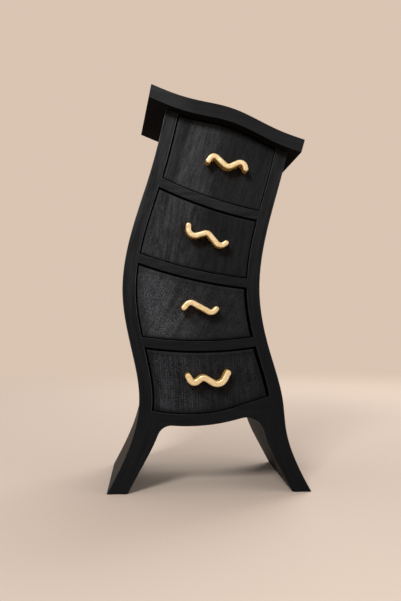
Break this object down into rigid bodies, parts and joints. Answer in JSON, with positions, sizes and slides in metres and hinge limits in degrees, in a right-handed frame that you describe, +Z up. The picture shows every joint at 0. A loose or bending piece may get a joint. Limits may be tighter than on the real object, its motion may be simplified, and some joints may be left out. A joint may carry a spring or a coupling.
{
  "type": "jewelry organizer",
  "caption": "Tabletop jewellery chest with a swaying case on splayed legs, a wavy overhanging top and curved sliding drawers with squiggle pulls.",
  "frame": {"origin": "on the floor, midway between the outer corners of the feet and midway between the front edge of the top and the back of the case", "axes": "+Z up, +X to the right of someone facing the drawers, +Y from the drawer fronts to the back"},
  "size_m": [0.1016, 0.0886, 0.202],
  "materials": {
    "case_paint": "black satin paint",
    "drawer_front_paint": "black brushed paint with a faint grain",
    "drawer_wood": "bare sanded wood",
    "lining_felt": "dark felt",
    "pull_gold": "matt mottled gold",
    "pin_steel": "plain"
  },
  "bodies": {
    "case": {"left_side": "case_paint", "right_side": "case_paint", "top_board": "case_paint", "bottom_board": "case_paint", "back_panel": "case_paint", "divider_1": "case_paint", "divider_2": "case_paint", "divider_3": "case_paint", "top_pins": "pin_steel"},
    "drawer_1": {"drawer_1_front": "drawer_front_paint", "drawer_1_pull": "pull_gold", "drawer_1_left_wall": "drawer_wood", "drawer_1_right_wall": "drawer_wood", "drawer_1_floor": "drawer_wood", "drawer_1_back": "drawer_wood", "drawer_1_lining": "lining_felt"},
    "drawer_2": {"drawer_2_front": "drawer_front_paint", "drawer_2_pull": "pull_gold", "drawer_2_left_wall": "drawer_wood", "drawer_2_right_wall": "drawer_wood", "drawer_2_floor": "drawer_wood", "drawer_2_back": "drawer_wood", "drawer_2_lining": "lining_felt"},
    "drawer_3": {"drawer_3_front": "drawer_front_paint", "drawer_3_pull": "pull_gold", "drawer_3_left_wall": "drawer_wood", "drawer_3_right_wall": "drawer_wood", "drawer_3_floor": "drawer_wood", "drawer_3_back": "drawer_wood", "drawer_3_lining": "lining_felt"},
    "drawer_4": {"drawer_4_front": "drawer_front_paint", "drawer_4_pull": "pull_gold", "drawer_4_left_wall": "drawer_wood", "drawer_4_right_wall": "drawer_wood", "drawer_4_floor": "drawer_wood", "drawer_4_back": "drawer_wood", "drawer_4_lining": "lining_felt"}
  },
  "joints": [
    {"name": "drawer_1_slide", "type": "slide", "parent": "case", "child": "drawer_1", "axis": [0, -1, 0], "range_m": [0, 0.052]},
    {"name": "drawer_2_slide", "type": "slide", "parent": "case", "child": "drawer_2", "axis": [0, -1, 0], "range_m": [0, 0.052]},
    {"name": "drawer_3_slide", "type": "slide", "parent": "case", "child": "drawer_3", "axis": [0, -1, 0], "range_m": [0, 0.052]},
    {"name": "drawer_4_slide", "type": "slide", "parent": "case", "child": "drawer_4", "axis": [0, -1, 0], "range_m": [0, 0.052]}
  ]
}
